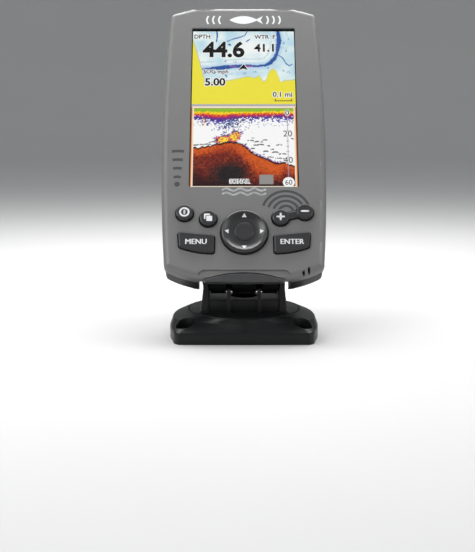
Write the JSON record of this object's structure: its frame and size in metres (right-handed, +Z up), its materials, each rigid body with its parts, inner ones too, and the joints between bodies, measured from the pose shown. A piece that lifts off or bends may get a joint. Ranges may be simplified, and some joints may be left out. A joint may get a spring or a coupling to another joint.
{
  "type": "fish finder",
  "caption": "Portrait keypad fish finder: a sonar and chart display head with rubber keys, plugged onto a tilting, swivelling screw-down foot.",
  "frame": {"origin": "on the swivel axis at the underside of the foot", "axes": "+Z up along the swivel axis, -Y towards the user (the display faces -Y, leaning back), +X to the user's right"},
  "size_m": [0.0834, 0.1062, 0.1633],
  "materials": {
    "case_grey": "fine-grained mid grey moulding",
    "housing_black": "fine-grained black moulding",
    "bracket_charcoal": "satin charcoal glass-filled nylon",
    "key_rubber": "smooth dark grey silicone",
    "seal_rubber": "matt black",
    "window_glass": "clear, polished",
    "lcd_glass": "lit colour display",
    "tray_metal": "pressed sheet",
    "board_green": "solder-masked laminate",
    "shield_steel": "tinned sheet",
    "component_black": "moulded component bodies",
    "antenna_ceramic": "sintered ceramic",
    "ribbon_film": "amber film",
    "screw_steel": "stainless steel",
    "pin_brass": "plated brass",
    "spring_steel": "spring steel",
    "dome_steel": "snap dome sheet",
    "bearing_acetal": "slippery acetal"
  },
  "bodies": {
    "base": {"mount_base": "bracket_charcoal", "bearing_ring": "bearing_acetal", "swivel_washer": "screw_steel", "swivel_screw": "screw_steel"},
    "neck": {"swivel_neck": "bracket_charcoal", "tilt_pin": "screw_steel", "tilt_pin_clip": "screw_steel", "friction_washers": "seal_rubber"},
    "head": {"tilt_head": "bracket_charcoal", "release_springs": "spring_steel"},
    "release_button": {"release_button": "bracket_charcoal"},
    "unit": {"front_bezel": "case_grey", "case_gasket": "seal_rubber", "rear_housing": "housing_black", "window_gasket": "seal_rubber", "display_window": "window_glass", "lcd_panel": "lcd_glass", "backlight_frame": "tray_metal", "main_board": "board_green", "processor_shield": "shield_steel", "sonar_transformer": "component_black", "capacitors": "component_black", "gps_antenna": "antenna_ceramic", "card_socket": "component_black", "display_ribbon": "ribbon_film", "keypad_ribbon": "ribbon_film", "board_screws": "screw_steel", "case_screws": "screw_steel", "keypad_board": "board_green", "keypad_screws": "screw_steel", "keypad_mat": "seal_rubber", "key_domes": "dome_steel", "buzzer": "component_black", "power_socket": "housing_black", "transducer_socket": "housing_black", "power_socket_pins": "pin_brass", "transducer_socket_pins": "pin_brass", "breather_vent": "housing_black"},
    "power_key": {"power_key": "key_rubber"},
    "pages_key": {"pages_key": "key_rubber"},
    "menu_key": {"menu_key": "key_rubber"},
    "enter_key": {"enter_key": "key_rubber"},
    "zoom_rocker": {"zoom_rocker": "key_rubber"},
    "arrow_pad_pivot": {"arrow_pad_pivot": "component_black"},
    "arrow_pad": {"arrow_pad": "key_rubber"},
    "card_door": {"card_door": "housing_black"}
  },
  "joints": [
    {"name": "swivel", "type": "hinge", "parent": "base", "child": "neck", "pos_m": [0, 0, 0.012], "axis": [0, 0, 1], "range_deg": [-60, 60]},
    {"name": "tilt", "type": "hinge", "parent": "neck", "child": "head", "pos_m": [0, -0.0038, 0.0289], "axis": [1, 0, 0], "range_deg": [-30, 28]},
    {"name": "release", "type": "slide", "parent": "head", "child": "release_button", "axis": [0, 0.8387, -0.5446], "range_m": [0, 0.0015], "stiffness_N_per_m": 2000},
    {"name": "lift_off", "type": "slide", "parent": "head", "child": "unit", "axis": [0, 0.5446, 0.8387], "range_m": [0, 0.042]},
    {"name": "power_press", "type": "slide", "parent": "unit", "child": "power_key", "axis": [0, 0.8387, -0.5446], "range_m": [0, 0.0007], "stiffness_N_per_m": 1500},
    {"name": "pages_press", "type": "slide", "parent": "unit", "child": "pages_key", "axis": [0, 0.8387, -0.5446], "range_m": [0, 0.0007], "stiffness_N_per_m": 1500},
    {"name": "menu_press", "type": "slide", "parent": "unit", "child": "menu_key", "axis": [0, 0.8387, -0.5446], "range_m": [0, 0.0007], "stiffness_N_per_m": 1500},
    {"name": "enter_press", "type": "slide", "parent": "unit", "child": "enter_key", "axis": [0, 0.8387, -0.5446], "range_m": [0, 0.0007], "stiffness_N_per_m": 1500},
    {"name": "zoom_rock", "type": "hinge", "parent": "unit", "child": "zoom_rocker", "pos_m": [0.02375, -0.00449, 0.05749], "axis": [-0.2445, 0.5281, 0.8132], "range_deg": [-2.2, 2.2], "stiffness_Nm_per_rad": 0.08},
    {"name": "pad_up_down", "type": "hinge", "parent": "unit", "child": "arrow_pad_pivot", "pos_m": [0.0001, -0.00929, 0.04964], "axis": [1, 0, 0], "range_deg": [-1.8, 1.8], "stiffness_Nm_per_rad": 0.08},
    {"name": "pad_left_right", "type": "hinge", "parent": "arrow_pad_pivot", "child": "arrow_pad", "pos_m": [0.0001, -0.00929, 0.04964], "axis": [0, 0.5446, 0.8387], "range_deg": [-1.8, 1.8], "stiffness_Nm_per_rad": 0.08},
    {"name": "card_door_hinge", "type": "hinge", "parent": "unit", "child": "card_door", "pos_m": [0.0394, 0.04752, 0.12197], "axis": [0, -0.5446, -0.8387], "range_deg": [0, 90]}
  ]
}
